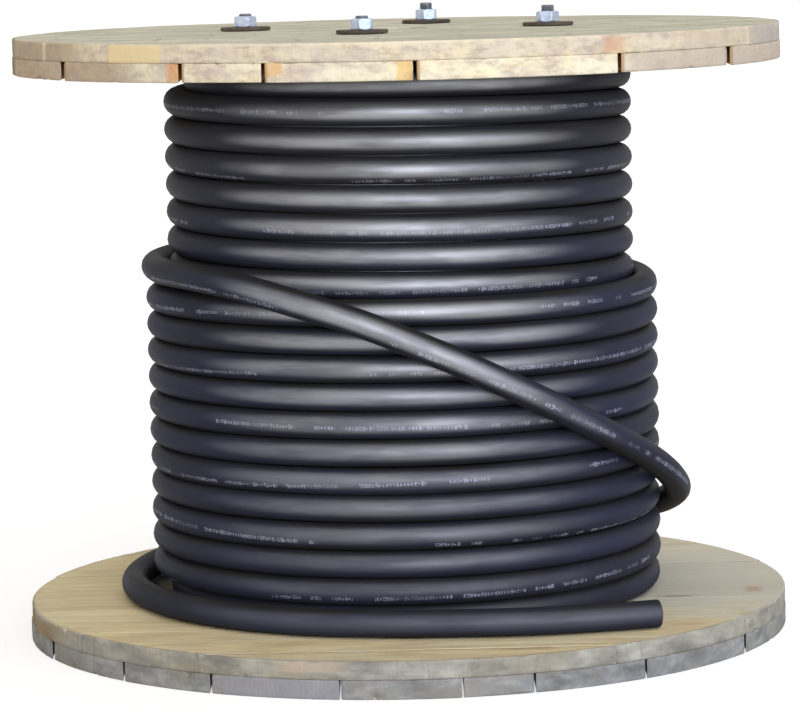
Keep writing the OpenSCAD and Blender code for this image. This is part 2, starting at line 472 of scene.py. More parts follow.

# %% [markdown]
# The loose end leaves the top of the last layer at the back left, crosses the front on a long slant,
# goes once more around the drum as it sinks to the lower flange, and ends cut square at the front
# right. It is a free cable, so its route is a given list of points, the same as in the CAD
# source: an angle around the drum, then the distance out and the height, both in cable diameters.

# %% Loose end of the cable
TAIL_ROUTE = [
    (150, 0.13, 12.53), (165, 0.13, 12.53), (182, 0.14, 12.53), (199, 0.18, 12.54), (213, 0.35, 12.57),
    (225, 0.63, 12.53), (237, 0.92, 12.33), (249, 1.08, 11.86), (260, 1.09, 11.3), (270, 1.09, 10.6),
    (280, 1.09, 9.81), (290, 1.09, 8.94), (301, 1.09, 7.97), (314, 1.09, 6.83), (329, 1.1, 5.63),
    (345, 1.12, 4.43), (362, 1.14, 3.33), (385, 1.13, 2.25), (410, 1.1, 1.6), (435, 1.1, 1.21),
    (460, 1.1, 0.95), (485, 1.12, 0.74), (510, 1.18, 0.58), (532, 1.24, 0.51), (552, 1.23, 0.5),
    (572, 1.14, 0.5), (592, 1.08, 0.5), (610, 1.08, 0.5), (626, 1.12, 0.5), (637, 1.38, 0.5),
    (647, 1.82, 0.5), (656, 2.38, 0.5), (665, 3.05, 0.5), (673, 3.83, 0.5),
]
TAIL_STEPS = 6
LEAD_ANGLE = 15
PLAY = 0.0003

last_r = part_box("cable_winding")[1].x - CABLE_D / 2
base_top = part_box("base_inner_board_1")[1].z


def route_point(angle, out, height):
    r = last_r + out * CABLE_D
    turned_by = math.radians(angle)
    return Vector((r * math.cos(turned_by), r * math.sin(turned_by), base_top + PLAY + height * CABLE_D))


def smooth_run(points, steps, lead):
    """Points along a smooth curve through the given ones; the lead lies before the first and aims it."""
    run = []
    last = len(points) - 1
    for i in range(last):
        a, b = points[i - 1] if i else lead, points[i]
        c, d = points[i + 1], points[min(i + 2, last)]
        for u in (step / steps for step in range(steps)):
            square = (2 * a - 5 * b + 4 * c - d) * u * u
            cube = (3 * b - a - 3 * c + d) * u * u * u
            run.append(0.5 * (2 * b + (c - a) * u + square + cube))
    run.append(points[last])
    return run


start_angle, start_out, start_height = TAIL_ROUTE[0]
lead = route_point(start_angle - LEAD_ANGLE, start_out, start_height)
tail_run = smooth_run([route_point(*entry) for entry in TAIL_ROUTE], TAIL_STEPS, lead)
tail_length = sum((b - a).length for a, b in zip(tail_run, tail_run[1:]))
tail_path = new_object("tail_path", tail_run, (), [(i, i + 1) for i in range(len(tail_run) - 1)])
tail_sizes = {"Diameter": CABLE_D, "Sides": TAIL_SIDES, "Finish": rubber_sheath}
cable_loose_end = tree_piece(
    "cable_loose_end", tail_path, sheath_tree, tail_sizes, "cable_sheath", "cable_tail"
)
print("loose end:", round(tail_length, 2), "m,", len(cable_loose_end.data.polygons), "faces")

# %% [markdown]
# Many small parts are turned. Here a turned shape is a list of rings, skinned from one to the next. A ring
# is a radius and a height, or a rule that gives both for each angle, which later makes nuts and threads.

# %% Turned shapes
ROUND_STEPS = 48
SHARP_ANGLE = math.radians(40)
BEVEL_ANGLE = math.radians(25)


def turned(rings, axis=Matrix.Identity(4), closed=False, steps=ROUND_STEPS):
    """Points and faces of a shape skinned over rings; a ring of no radius closes to a point."""
    points, faces, rows = [], [], []
    for ring in rings:
        rule = ring if callable(ring) else lambda angle, ring=ring: ring
        if not callable(ring) and ring[0] == 0:
            rows.append([len(points)] * steps)
            points.append(axis @ Vector((0, 0, ring[1])))
            continue
        rows.append(range(len(points), len(points) + steps))
        for step in range(steps):
            angle = math.tau * step / steps
            r, z = rule(angle)
            points.append(axis @ Vector((r * math.cos(angle), r * math.sin(angle), z)))
    for low, high in zip(rows, rows[1:] + rows[:1] if closed else rows[1:]):
        for step in range(steps):
            after = (step + 1) % steps
            corners = [low[step], low[after], high[after], high[step]]
            faces.append(list(dict.fromkeys(corners)))
    return points, faces


def joined(shapes):
    """Several shapes as the points and faces of one."""
    points, faces = [], []
    for more_points, more_faces in shapes:
        faces += [[index + len(points) for index in face] for face in more_faces]
        points += more_points
    return points, faces


def solid_object(name, shape, rounded=True):
    """An object whose faces all look outwards, shaded round but for its sharp edges, or left flat."""
    made = new_object(name, *shape)
    skin = bmesh.new()
    skin.from_mesh(made.data)
    bmesh.ops.recalc_face_normals(skin, faces=skin.faces)
    for face in skin.faces:
        face.smooth = rounded
    for seam in skin.edges:
        seam.smooth = not rounded or seam.calc_face_angle(0) < SHARP_ANGLE
    skin.to_mesh(made.data)
    skin.free()
    return made


def solid_piece(name, shape, finish, slot, *nodes, edge=0.0):
    """A piece from points and faces, with its sharp edges rounded by a bevel where a size is given."""
    source = solid_object(name + "_source", shape)
    if edge:
        bevel = source.modifiers.new("worn edge", "BEVEL")
        bevel.width = edge
        bevel.segments = 2
        bevel.limit_method = "ANGLE"
        bevel.angle_limit = BEVEL_ANGLE
    source.data.materials.append(finish)
    return plain_piece(name, source, slot, *nodes)


print("turning is ready")

# %% [markdown]
# Where the cable was cut, its inside shows: the rubber sheath, three insulated cores bedded in filler,
# and the ends of the copper strands. Each needs only a small finish of two colours in fine patches.

# %% Finishes of the cut end
def flat_finish(name, low, high, rough, metal=0.0, scale=300):
    """A small finish with two colours in fine patches and a little relief."""
    material, tree, shader = new_finish(name)
    grain = noise(object_place(tree), scale, 4, 0.65)
    fill(shader, {
        "Base Color": blend(ease(grain, 0.3, 0.7), low, high), "Roughness": rough + grain * 0.2,
        "Metallic": metal, "Normal": bump(grain, 0.0004, 0.5),
    })
    return material


cut_rubber = flat_finish("cut rubber", (38, 38, 41), (62, 62, 64), 0.6)
core_rubber = flat_finish("core insulation", (66, 62, 58), (96, 91, 84), 0.55)
copper = flat_finish("copper strand ends", (160, 92, 58), (206, 134, 92), 0.3, 1.0, 900)
print("finishes:", cut_rubber.name, core_rubber.name, copper.name)

# %% [markdown]
# The sheath and the cores are turned. The strands repeat, so a geometry tree sets one small peg on each
# point of a honeycomb.

# %% Cut end of the cable
CORE_R = 0.0057
CORE_OUT = 0.0068
CORE_COUNT = 3
CORE_TURN = 0.4
CORE_TOP = 0.0016
CORE_STEPS = 28
FILLER_R = 0.0132
FILLER_Z = 0.0002
CUT_BACK = -0.0005
STRAND_R = 0.00062
STRAND_Z = 0.0014
STRAND_OUT = 0.0012
STRAND_ROWS = range(-4, 5)
STRANDS_WITHIN = 6.72 * STRAND_R

end_point = tail_run[-1]
end_way = (tail_run[-1] - tail_run[-2]).normalized()
end_axis = Matrix.Translation(end_point) @ end_way.to_track_quat("Z", "Y").to_matrix().to_4x4()
skin_r = CABLE_D / 2 - 0.0002
cut_face = turned([
    (0, FILLER_Z), (FILLER_R, FILLER_Z), (FILLER_R + 0.0004, 0.0012), (skin_r - 0.0004, 0.0014),
    (skin_r, 0.0009), (skin_r, CUT_BACK), (0, CUT_BACK),
], end_axis)
cut_sheath = solid_piece("cable_cut_sheath", cut_face, cut_rubber, "cable_sheath")
core_axes = []
for number in range(CORE_COUNT):
    around = math.tau * number / CORE_COUNT + CORE_TURN
    offset = Matrix.Translation((CORE_OUT * math.cos(around), CORE_OUT * math.sin(around), 0))
    core_axes.append(end_axis @ offset)
core_shape = [
    (0, -FILLER_Z), (CORE_R, -FILLER_Z), (CORE_R, 0.0013), (CORE_R - 0.0004, CORE_TOP), (0, CORE_TOP),
]
cores = joined([turned(core_shape, axis, steps=CORE_STEPS) for axis in core_axes])
cut_cores = solid_piece("cable_cut_cores", cores, core_rubber, "cable_sheath")


def peg_tree(name, sides, radius, height, turn, inputs, **settings):
    """A tree that sets a short peg on each point and turns it by a function node."""
    tree, given, result = geometry_tree(name, {"Radius": radius, "Height": height, "Finish": "Material"})
    sizes = {"Vertices": sides, "Radius": given["Radius"], "Depth": given["Height"]}
    peg = form(tree, "MeshCylinder", sizes, "Mesh")
    rotation = node(tree, "FunctionNode" + turn, inputs, **settings)
    pegs = {"Points": given["Geometry"], "Instance": peg, "Rotation": rotation}
    fill(result, [shaded(form(tree, "InstanceOnPoints", pegs), given["Finish"])])
    return tree


facing_on = {"Vector": tuple(end_way)}
strand_tree = peg_tree("Strand ends", 8, STRAND_R, STRAND_OUT, "AlignRotationToVector", facing_on, axis="Z")
strand_points = []
for axis in core_axes:
    for row in STRAND_ROWS:
        for column in STRAND_ROWS:
            spot = Vector(((column + row / 2) * 2 * STRAND_R, row * math.sqrt(3) * STRAND_R, STRAND_Z))
            if spot.xy.length < STRANDS_WITHIN:
                strand_points.append(axis @ spot)
strand_source = new_object("strand_points", strand_points)
cut_strands = tree_piece("cable_cut_strands", strand_source, strand_tree, {"Finish": copper})
print("cut end:", len(strand_points), "strands in", CORE_COUNT, "cores")

# %% [markdown]
# The wound cable is one continuous run. The first layer climbs the barrel, the second comes back down
# in the valleys of the first, and the third climbs again and stops part way, where the loose end goes on.
# Modelling turn by turn would leave rings that join nowhere. Instead a geometry tree works out the place
# of each step from its number: the angle grows steadily, and the radius and height follow the layers.

# %% Wound cable
END_ANGLE = 150
LOW_TURN = 0.066
LOWEST = 0.0608
FIRST_CLIMB = 0.0332
DOWN_FROM = 0.6562
DOWN_PITCH = 0.03275
SEEN_TURNS = 7.0
HIDDEN_PITCH = 0.0316
DOWN_LEAN = 0.0018
LAST_LEAN = 0.0054
END_RISE = 0.0089
END_OUT = 0.0041

layer_step = CABLE_D * math.sqrt(3) / 2
first_r = last_r - 2 * layer_step
wind_tree, given, result = geometry_tree("Wind the drum", {
    "Cable diameter": CABLE_D, "First radius": first_r, "Layer step": layer_step, "Steps per turn": 80,
    "Turns in a layer": 19.0, "Turns in last layer": 11 + END_ANGLE / 360, "Unevenness": 0.0012,
    "Finish": "Material",
})
full = given["Turns in a layer"]
all_turns = full * 2 + given["Turns in last layer"]
t = (form(wind_tree, "InputIndex") / given["Steps per turn"]).op("MINIMUM", all_turns)
angle = t * math.tau
lean = angle.op("COSINE")
second = ease(t, full - 0.6, full)
third = ease(t, full * 2 - 0.8, full * 2 + 0.1)
settled = ease(t, full * 2 - 0.5, full * 2 + 0.5)
ending = ease(t, all_turns - 0.42, all_turns)
climbing = t.op("MINIMUM", full - 1) * FIRST_CLIMB + (base_top + PLAY + CABLE_D / 2)
down = t - full
sunk = down.op("MINIMUM", SEEN_TURNS) * DOWN_PITCH + (down - SEEN_TURNS).op("MAXIMUM", 0.0) * HIDDEN_PITCH
sinking = (DOWN_FROM - sunk + lean * DOWN_LEAN).op("MAXIMUM", LOWEST)
last_climb = (t - full * 2) * given["Cable diameter"] + LOW_TURN - lean * LAST_LEAN
uneven, sway = [
    (noise(vector(t * pace, start, 0)) - 0.5) * 2 * (1 - ending) * given["Unevenness"]
    for pace, start in ((2.3, 3.7), (1.7, 9.1))
]
height = mixed(settled, mixed(second, climbing, sinking), last_climb) + ending * END_RISE + uneven
radius = given["First radius"] + given["Layer step"] * (second + third) + ending * END_OUT + sway * 0.6
spot = vector(radius * lean, radius * angle.op("SINE"), height)
steps = (all_turns * given["Steps per turn"]).op("CEIL") + 1
line = form(wind_tree, "MeshLine", {"Count": steps})
path = form(wind_tree, "SetPosition", {"Geometry": line, "Position": spot})
fill(result, [form(wind_tree, "Group", {
    "Geometry": path, "Diameter": given["Cable diameter"], "Sides": SIDES, "Finish": given["Finish"],
}, node_tree=sheath_tree)])
cable_wound = tree_piece(
    "cable_wound", new_object("wind_source"), wind_tree, {"Finish": rubber_sheath},
    "cable_sheath", "cable_winding",
)
print("wound cable:", len(cable_wound.data.polygons), "faces")

# %% [markdown]
# The boards are sawn pine. A plank is cut from a round trunk, so its grain is a set of growth rings
# around the trunk's middle: arcs on a sawn end, long streaks along a face. A flat picture of grain cannot
# turn that corner. This group therefore works in three directions, along, across and through the board,
# and bends the rings around knots. It puts out masks that each finish colours in its own way.

# %% Pine group
KNOTS_PER_METRE = 5.2

pine_group, given, result = new_group(
    "Pine grain",
    {"Grain": "Vector", "Tone": "Float", "Ring width": "Float"},
    dict.fromkeys(("Late wood", "Fibre", "Knot", "Streak", "Height"), "Float"),
)
grain, tone = given["Grain"], given["Tone"]
log_place = vector_op("ADD", grain, vector(tone * 37.0, tone * 61.0, tone * 17.0))
across, depth = split(grain)[1:]
knot_cells = place(pine_group, "ShaderNodeTexVoronoi", {
    "Vector": stretched(log_place, 1, 1, 0), "Scale": KNOTS_PER_METRE, "Randomness": 1.0,
}, voronoi_dimensions="2D").outputs
knot_far = Field(knot_cells["Distance"]) / KNOTS_PER_METRE
knot_here = split(Field(knot_cells["Color"]))[0].op("GREATER_THAN", 0.62)
knot = ease(knot_far, 0.011, 0.006) * knot_here
swirl = (knot_far * -45).op("EXPONENT") * knot_here
pith_across = ((tone * 7.13).op("FRACT") - 0.5) * 0.12
pith_depth = (tone * 3.71).op("FRACT") * -0.05 - 0.025
wave = streaks(log_place, 1.6, 9, 9, 3) - 0.5
from_pith = ((across - pith_across).op("POWER", 2.0) + (depth - pith_depth).op("POWER", 2.0)).op("SQRT")
rings = (from_pith + wave * 0.012 + swirl * 0.02) / given["Ring width"]
late = ease(rings.op("FRACT"), 0.35, 0.93) * ease(rings.op("FRACT"), 1.0, 0.95)
fibre = streaks(log_place, 9, 420, 420, 4, 0.65)
streak = streaks(log_place, 2.2, 46, 46, 4, 0.6)
knot_rings = (knot_far * 1400).op("SINE") * 0.5 + 0.5
fill(result, {
    "Late wood": late, "Fibre": fibre, "Streak": streak, "Knot": knot * (knot_rings * 0.35 + 0.65),
    "Height": late * 0.5 + fibre * 0.6 + streak * 0.4 - knot * 0.3,
})
print("group:", pine_group.name)

# %% [markdown]
# Sun and rain turn pine silver-grey, first where the sawn ends drink water, and leave darker stains
# along the fibres. Weathering is a group of its own because all four layers of boards have it, each with
# its own grey and its own amount.

# %% Weathering group
weather_group, given, result = new_group("Weathering", {
    "Colour": "Color", "Grain": "Vector", "Where": "Vector", "Grey": "Color", "Amount": "Float",
    "Stain": "Float",
}, {"Colour": "Color", "Mask": "Float"})
blotch = noise(given["Where"], 11, 5, 0.62)
drawn = streaks(given["Grain"], 5, 70, 70, 4, 0.6)
silver = ease(blotch * 0.6 + drawn * 0.4 + given["Amount"] - 0.5, 0.25, 0.72)
silver = silver * given["Amount"].op("MINIMUM", 1.0)
dark = ease(streaks(given["Grain"], 7, 160, 90, 5, 0.7), 0.58, 0.76)
dark = dark * ease(noise(given["Where"], 5, 3), 0.4, 0.62) * given["Stain"]
weathered = layered(given["Colour"], [(silver, given["Grey"]), (dark, (86, 76, 64))])
fill(result, {"Colour": weathered, "Mask": silver})
print("group:", weather_group.name)

# %% [markdown]
# A board shows three kinds of surface: the broad face, the sawn rim with the edges beside it, and the
# sides in the gaps. The finish tells them apart by how far a point is from the axis and which way it
# faces. Soft patches of other tints mottle the rim and the face. Local marks, such as a cleaner patch
# where another board once covered the wood, are spots with a place, a size, a colour, a strength and a
# feathered edge of their own, kept to the rim or to the face. Some spots are painted light: a painted
# highlight along the top edge of the upper rim, golden painted light at the gaps, and painted shade at
# the ends of the upper rims and on the base face inside the loop of the loose end. The golden colour of
# the gap sides in the upper flange's inner layer is painted light too.

# %% Board finish
RIM_R = cad_high.x
RIM_DEPTH = 0.012
ARRIS = 0.007
GAP_FROM = 0.05


def outer(from_axis, depth):
    """A mask for what lies within this depth of the rim."""
    return ease(from_axis, RIM_R - depth, RIM_R - depth / 2)


def spot_mask(where, ragged, spot, reach, feather):
    """A patch around a place: boxy and crisp, or soft and uneven where its edge is feathered."""
    off = vector_op("ABSOLUTE", vector_op("DIVIDE", vector_op("SUBTRACT", where, spot), reach))
    x, y, z = split(off)
    return ease(x.op("MAXIMUM", y).op("MAXIMUM", z) + ragged * feather, 1.0, 1.0 - feather)


def mottled(colour, where, tints, mask):
    """Lay soft patches of other tints over a colour: each has a tint, patches per metre and a strength."""
    for number, (tint, per_metre, strength) in enumerate(tints):
        shifted = vector_op("ADD", where, (number * 3.1, number * 1.7, number * 2.3))
        patch = ease(noise(shifted, per_metre, 5, 0.65), 0.42, 0.7)
        colour = blend(patch * mask * strength, colour, tint)
    return colour


def board_finish(name, look):
    """A pine finish from its look: face and rim colours, greys, and local spots."""
    material, tree, shader = new_finish(name)
    grain = attribute(tree, "grain")
    tone = attribute(tree, "tone", "Fac")
    where = object_place(tree)
    x, y, z = split(where)
    normal = node(tree, "ShaderNodeNewGeometry", (), "Normal")
    upright = ease(split(normal)[2].op("ABSOLUTE"), 0.75, 0.45)
    from_axis = (x * x + y * y).op("SQRT")
    far_out = outer(from_axis, RIM_DEPTH)
    rim = (upright * far_out).op("MAXIMUM", outer(from_axis, ARRIS))
    around = y.op("ARCTAN2", x) * RIM_R
    pine = use_group(tree, pine_group, {"Grain": grain, "Tone": tone, "Ring width": look["rings"]})
    face = blend(pine["Late wood"] * 0.3, look["face"], look["face_late"])
    rim_wood = blend(pine["Late wood"] * 0.05, look["rim"], look["rim_late"])
    streaked = ease(pine["Streak"], 0.42, 0.75) * mixed(rim, 0.5, 0.15)
    colour = layered(face, [(rim, rim_wood), (streaked, look["streak"])])
    colour = blend((pine["Fibre"] - 0.35) * 0.4, colour, look["streak"], "MULTIPLY")
    aged = use_group(tree, weather_group, {
        "Colour": blend(pine["Knot"] * 0.85, colour, look["knot"]), "Grain": grain, "Where": where,
        "Grey": paint(look["grey"]), "Stain": look["stain"],
        "Amount": mixed(rim, look["face_grey"], look["rim_grey"]) + (tone - 0.5) * 0.3,
    })
    own = vector_op("ADD", grain, vector(tone * 19, tone * 7, 0.0))
    colour = mottled(aged["Colour"], vector(around * 0.5, z, from_axis), look["rim_tints"], rim)
    colour = mottled(colour, stretched(own, 0.22, 1, 1), look["face_tints"], 1 - rim)
    colour = mottled(colour, stretched(own, 0.6, 1, 1), look["blots"], 1 - upright)
    saw_marks = ease(noise(vector(around * 130, z * 16, 0.0), 1.0, 3, 0.6), 0.52, 0.72)
    colour = blend(saw_marks * rim * look["saw"], colour, look["saw_tint"])
    ragged = noise(where, 60, 4, 0.6) - 0.5
    for spots, part in ((look["rim_spots_and_painted_light"], rim), (look["face_spots_and_painted_shade"], 1 - upright)):
        for spot, reach, tint, strength, feather in spots:
            mask = spot_mask(where, ragged, spot, reach, feather)
            colour = blend(mask * part * strength, colour, tint)
    lightness = (tone * 5.3).op("FRACT") * look["uneven"] + 1 - look["uneven"] / 2
    colour = blend(1.0, colour, vector(lightness, lightness, lightness), "MULTIPLY")
    # The sides in the gaps take the gap colour; where that is lifted to gold, it is painted light on the
    # shaded sides.
    gap = upright * (1 - far_out) * ease(from_axis, GAP_FROM, GAP_FROM + 0.02)
    dusty = use_group(tree, dust_group, {
        "Colour": blend(gap * 0.75, colour, look["gap"]), "Where": where,
        "Dust": paint(look["dust"]), "Amount": look["dust_amount"],
    })
    saw = noise(vector(around * 620, z * 18, 0.0), 1.0, 3) * rim
    fill(shader, {
        "Base Color": dusty["Colour"], "Specular IOR Level": 0.3,
        "Roughness": 0.62 + pine["Fibre"] * 0.25 + aged["Mask"] * 0.08,
        "Normal": bump(pine["Height"] * mixed(rim, 1.0, 0.3) + saw * 0.9, 0.0011, 0.8),
    })
    return material


print("board finish is ready")

# %% [markdown]
# Each layer of boards has its own look. The top flange is pale, the floor of the lower one is warm where
# the cable kept it clean, and the lower rims are grey. An inner or outer layer starts from the look of its
# neighbour and says only what differs.

# %% Looks of the four layers
top_seams = [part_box(f"top_inner_board_{number}")[1].x for number in range(1, 7)]
top_outer_look = dict(
    rings=0.0052, face=(219, 215, 192), face_late=(186, 176, 146), rim=(248, 232, 204),
    rim_late=(214, 190, 158), streak=(190, 182, 160), knot=(140, 98, 66), grey=(198, 197, 182),
    face_grey=0.7, rim_grey=0.25, stain=0.35, gap=(140, 122, 92), dust=(210, 206, 192), dust_amount=0.2,
    saw=0.2, saw_tint=(196, 178, 156), uneven=0.1,
    rim_tints=[((206, 184, 174), 34, 0.8), ((255, 238, 188), 42, 0.7), ((176, 154, 134), 90, 0.6)],
    face_tints=[((176, 179, 156), 26, 0.65), ((248, 240, 214), 48, 0.7), ((142, 138, 118), 80, 0.5)],
    blots=[((156, 160, 134), 13, 0.45), ((246, 240, 220), 16, 0.45)],
    face_spots_and_painted_shade=[],
    rim_spots_and_painted_light=[
        ((-0.2875, -0.35, 0.7055), (0.0305, 0.06, 0.0105), (255, 230, 172), 0.9, 0.06),
        ((0.238, -0.39, 0.706), (0.016, 0.04, 0.012), (224, 160, 116), 0.6, 0.6),
        ((-0.42, -0.16, 0.707), (0.085, 0.2, 0.03), (184, 163, 136), 0.65, 0.4),
        # Painted shade: dark olive at the left end of the rim, where it turns away from the light.
        ((-0.455, 0.0, 0.707), (0.014, 0.2, 0.03), (112, 100, 64), 0.85, 0.6),
        # Painted highlight: a pale cream band along the top edge of the upper rim.
        ((-0.05, -0.42, 0.7165), (0.3, 0.2, 0.0035), (250, 238, 206), 0.5, 0.6),
        ((0.40, -0.2, 0.707), (0.11, 0.24, 0.012), (200, 182, 158), 0.55, 0.4),
        ((0.44, -0.1, 0.707), (0.045, 0.14, 0.03), (186, 180, 178), 0.6, 0.4),
        # Painted shade: darker grey at the right end of the rim, at its very edge.
        ((0.455, 0.0, 0.707), (0.012, 0.1, 0.03), (140, 142, 146), 0.7, 0.5),
    ],
)
top_inner_look = dict(
    # Painted light: the golden gap colour makes the shaded sides of the boards in the gaps look lit.
    top_outer_look, rim=(255, 245, 214), rim_late=(232, 208, 168), rim_grey=0.15, gap=(206, 148, 74),
    rim_spots_and_painted_light=[
        # Painted light: golden patches at three gaps, as if light fell onto the boards' sides.
        ((-0.243, -0.386, 0.688), (0.009, 0.03, 0.016), (232, 164, 98), 0.8, 0.5),
        ((-0.132, -0.436, 0.690), (0.012, 0.03, 0.010), (230, 176, 98), 0.7, 0.5),
        ((0.008, -0.457, 0.685), (0.010, 0.03, 0.016), (240, 196, 112), 0.7, 0.4),
        ((-0.40, -0.2, 0.685), (0.13, 0.19, 0.03), (184, 152, 126), 0.65, 0.4),
        # Painted shade: dark olive at the left end of the rim, where it turns away from the light.
        ((-0.455, 0.0, 0.685), (0.014, 0.2, 0.03), (110, 98, 64), 0.85, 0.6),
        ((0.37, -0.2, 0.685), (0.14, 0.22, 0.03), (196, 177, 162), 0.7, 0.3),
        # Painted light: a golden strip beside each seam.
        *[((x + 0.0045, -0.3, 0.685), (0.0035, 0.3, 0.03), (178, 128, 58), 0.7, 0.5) for x in top_seams],
    ],
)
base_inner_look = dict(
    rings=0.006, face=(253, 238, 192), face_late=(228, 204, 156), rim=(154, 151, 141),
    rim_late=(140, 133, 122), streak=(186, 168, 132), knot=(134, 90, 60), grey=(172, 170, 164),
    face_grey=0.3, rim_grey=0.6, stain=0.45, gap=(112, 102, 86), dust=(198, 190, 172), dust_amount=0.2,
    saw=0.45, saw_tint=(132, 130, 124), uneven=0.08,
    rim_tints=[((196, 194, 182), 46, 0.85), ((112, 111, 104), 34, 0.85), ((172, 160, 130), 18, 0.5)],
    face_tints=[((218, 196, 154), 30, 0.6), ((226, 220, 194), 22, 0.7), ((190, 162, 118), 48, 0.5)],
    blots=[((206, 178, 130), 9, 0.3)],
    rim_spots_and_painted_light=[
        ((-0.44, -0.1, 0.031), (0.04, 0.12, 0.0115), (150, 122, 78), 0.8, 0.5),
        ((-0.11, -0.443, 0.036), (0.05, 0.02, 0.008), (214, 188, 158), 0.5, 0.6),
    ],
    face_spots_and_painted_shade=[
        ((0.36, 0.02, 0.044), (0.2, 0.34, 0.02), (214, 213, 202), 0.75, 0.6),
        ((-0.38, -0.05, 0.046), (0.1, 0.3, 0.006), (255, 240, 186), 0.45, 0.7),
        ((0.411, -0.073, 0.044), (0.014, 0.03, 0.01), (196, 150, 118), 0.6, 0.9),
        ((0.316, -0.107, 0.044), (0.03, 0.010, 0.01), (148, 128, 106), 0.6, 0.9),
        ((0.317, -0.282, 0.044), (0.04, 0.014, 0.01), (204, 166, 124), 0.6, 0.9),
        ((0.125, -0.400, 0.044), (0.05, 0.012, 0.01), (172, 132, 90), 0.6, 0.9),
        # Painted shade: a dark patch on the base face inside the loop of the loose end, where it lies in
        # shadow.
        ((-0.302, 0.035, 0.044), (0.03, 0.12, 0.01), (50, 46, 40), 0.9, 0.3),
    ],
)
base_outer_look = dict(
    base_inner_look, rim=(132, 133, 135), rim_late=(122, 120, 118), grey=(156, 156, 158),
    face_grey=0.6, stain=0.5, gap=(120, 112, 96),
    rim_tints=[((178, 179, 177), 46, 0.85), ((94, 96, 96), 32, 0.85), ((150, 144, 124), 18, 0.4)],
    rim_spots_and_painted_light=[((-0.14, -0.44, 0.011), (0.075, 0.05, 0.03), (150, 149, 156), 0.7, 0.2)],
    face_spots_and_painted_shade=[],
)
LAYERS = {}
for layer, look in (
    ("top_outer", top_outer_look), ("top_inner", top_inner_look),
    ("base_inner", base_inner_look), ("base_outer", base_outer_look),
):
    flange, side = layer.split("_")
    finish = board_finish(f"{flange} flange {side} boards", look)
    LAYERS[layer + "_board"] = {"finish": finish, "slot": flange + "_board"}
print("board finishes:", len(LAYERS))

# %% [markdown]
# A board could be a box with a curved end, but sawn boards that have rolled over a yard are never so
# sharp. The tree starts from a finely divided cube and bends it into a strip of a disc. Each point is then
# pulled onto a rounded edge by the classic trick: find the nearest point of a slightly smaller board, and
# stand off from it by the edge radius. Noise wears the rim and breaks chips out of its edges, and last the
# drilled holes are cut away.

# %% Board tree
CHIP_REACH = 0.010
WEAR_REACH = 0.008
RIM_WAVE = 0.0016
RIM_GRAIN = 0.0009
FACE_WAVE = 0.0006
NO_REACH = 0.001
SAME_POINT = 0.00002


def crowded(u):
    """Draw points that lie evenly from -1 to 1 closer together towards both ends."""
    return (u * (math.pi / 2)).op("SINE")


def held(value, low, high):
    return value.op("MAXIMUM", low).op("MINIMUM", high)


def about_axis(spot, angle):
    """Turn a place about the drum's axis."""
    inputs = {"Vector": spot, "Angle": angle}
    return node(spot.tree, "ShaderNodeVectorRotate", inputs, rotation_type="Z_AXIS")


board_tree, given, result = geometry_tree("Saw and wear a board", {
    "First angle": 0.0, "Last angle": 1.0, "Low": 0.0, "High": 0.1, "Radius": RIM_R, "Bottom": 0.0,
    "Thickness": 0.022, "Run": 0.0, "Crowding": 1.0, "Edge": 0.0015, "Chip": 0.005, "Face drop": 0.0005,
    "Face side": 1.0, "Seed": 0.5, "Drilled": False, "Drillings": "Object", "Finish": "Material",
})
cube = form(board_tree, "MeshCube", {
    "Size": (2, 2, 2), "Vertices X": 61, "Vertices Y": 41, "Vertices Z": 8,
}, "Mesh")
x, y, z = split(form(board_tree, "InputPosition"))
R, low, high = given["Radius"], given["Low"], given["High"]
bottom, thick = given["Bottom"], given["Thickness"]
half_turn = (given["Last angle"] - given["First angle"]) * 0.5
to_side = mixed(given["Crowding"], y, crowded(y))
seam_angle = (given["Last angle"] + given["First angle"]) * 0.5 + half_turn * to_side
along = R * seam_angle.op("COSINE") * crowded(x)
across = R * seam_angle.op("SINE")
height = bottom + thick * (crowded(z) * 0.5 + 0.5)
spot = vector(along, across, height)
seeded = vector_op("ADD", spot, vector(given["Seed"] * 31, given["Seed"] * 47, 0.0))
edge = given["Edge"] * (noise(seeded, 22, 3) * 1.6 + 0.3)
reach = (along * along + across * across).op("SQRT")
some_reach = reach.op("MAXIMUM", NO_REACH)
shrink = ((R - edge) / some_reach).op("MINIMUM", 1.0)
core = vector(
    along * shrink,
    held(across * shrink, low + edge, high - edge),
    held(height, bottom + edge, bottom + thick - edge),
)
stand_off = vector_op("NORMALIZE", vector_op("SUBTRACT", spot, core))
rounded = vector_op("ADD", core, vector_op("MULTIPLY", stand_off, vector(edge, edge, edge)))
from_rim = R - reach
from_face = (height - bottom).op("MINIMUM", bottom + thick - height)
near_edge = ease(from_rim.op("MAXIMUM", from_face), CHIP_REACH, 0.0)
near_rim = ease(from_rim, WEAR_REACH, 0.0)
chipped = near_edge * ease(noise(seeded, 38, 3, 0.6), 0.62, 0.74) * given["Chip"]
inset = chipped + (noise(seeded, 16) * RIM_WAVE + noise(seeded, 110, 3) * RIM_GRAIN) * near_rim
face_sign = (height - bottom - thick * 0.5).op("SIGN")
on_face = ((height - bottom) / thick * 2 - 1) * given["Face side"]
drop = given["Face drop"] + noise(seeded, 5) * FACE_WAVE
drop = on_face.op("MAXIMUM", 0.0) * drop * given["Face side"]
worn = vector_op("SUBTRACT", rounded, vector(
    along / some_reach * inset, across / some_reach * inset, face_sign * chipped * 0.6 + drop,
))
laid = about_axis(worn, given["Run"])
sawn = form(board_tree, "SetPosition", {"Geometry": cube, "Position": laid})
sawn = form(board_tree, "MergeByDistance", {"Geometry": sawn, "Distance": SAME_POINT})
drills = form(board_tree, "ObjectInfo", {"Object": given["Drillings"]}, "Geometry")
meshes = {"Mesh 1": sawn, "Mesh 2": drills}
